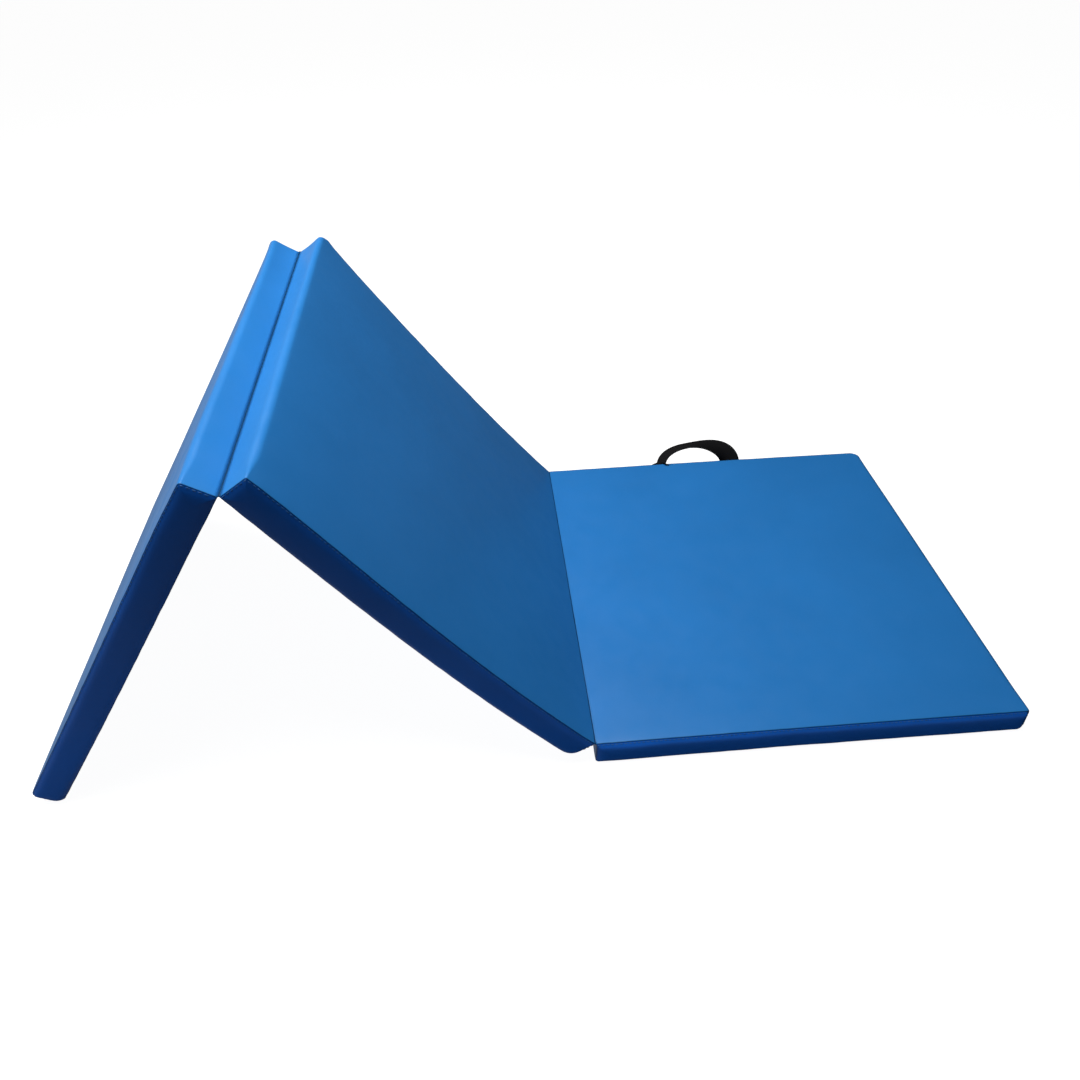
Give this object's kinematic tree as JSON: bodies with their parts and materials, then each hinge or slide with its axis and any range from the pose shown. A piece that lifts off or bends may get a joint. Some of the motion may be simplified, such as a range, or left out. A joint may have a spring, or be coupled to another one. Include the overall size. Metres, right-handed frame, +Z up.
{
  "type": "folding gym mat",
  "caption": "Padded vinyl floor mat with sewn fold hinges and webbing carry handles, standing half unfolded as a tent.",
  "frame": {"origin": "centre of the underside of the panel that lies on the floor", "axes": "+X along the mat towards the lying panel's free end, +Z up, +Y towards the long side with the handles"},
  "size_m": [1.3517, 0.6507, 0.5218],
  "materials": {
    "cover_vinyl": "satin",
    "gusset_vinyl": "satin",
    "hinge_vinyl": "satin",
    "webbing": "matte",
    "foam": "matte"
  },
  "bodies": {
    "base_panel": {"base_foam_core": "foam", "base_top_cover": "cover_vinyl", "base_bottom_cover": "cover_vinyl", "base_near_gusset": "gusset_vinyl", "base_far_gusset": "gusset_vinyl", "base_handle_end_a": "webbing", "base_handle_end_b": "webbing"},
    "middle_panel": {"middle_foam_core": "foam", "middle_top_cover": "cover_vinyl", "middle_bottom_cover": "cover_vinyl", "middle_near_gusset": "gusset_vinyl", "middle_far_gusset": "gusset_vinyl", "lower_hinge_strip": "hinge_vinyl"},
    "outer_panel": {"outer_foam_core": "foam", "outer_top_cover": "cover_vinyl", "outer_bottom_cover": "cover_vinyl", "outer_near_gusset": "gusset_vinyl", "outer_far_gusset": "gusset_vinyl", "upper_hinge_strip": "hinge_vinyl", "outer_handle_end_a": "webbing", "outer_handle_end_b": "webbing"},
    "base_handle": {"base_handle_strap": "webbing"},
    "outer_handle": {"outer_handle_strap": "webbing"}
  },
  "joints": [
    {"name": "lower_fold", "type": "hinge", "parent": "base_panel", "child": "middle_panel", "pos_m": [-0.302, 0, 0.0414], "axis": [0, 1, 0], "range_deg": [-54, 123]},
    {"name": "upper_fold", "type": "hinge", "parent": "middle_panel", "child": "outer_panel", "pos_m": [-0.68849, 0, 0.50224], "axis": [0, -1, 0], "range_deg": [-110.88, 66.1]},
    {"name": "base_handle_swing", "type": "hinge", "parent": "base_panel", "child": "base_handle", "pos_m": [-0.017, 0.3017, 0.031], "axis": [-1, 0, 0], "range_deg": [-9, 65]},
    {"name": "outer_handle_swing", "type": "hinge", "parent": "outer_panel", "child": "outer_handle", "pos_m": [-0.88687, 0.3017, 0.25555], "axis": [-0.5463, 0, -0.8376], "range_deg": [-87, 0]}
  ]
}
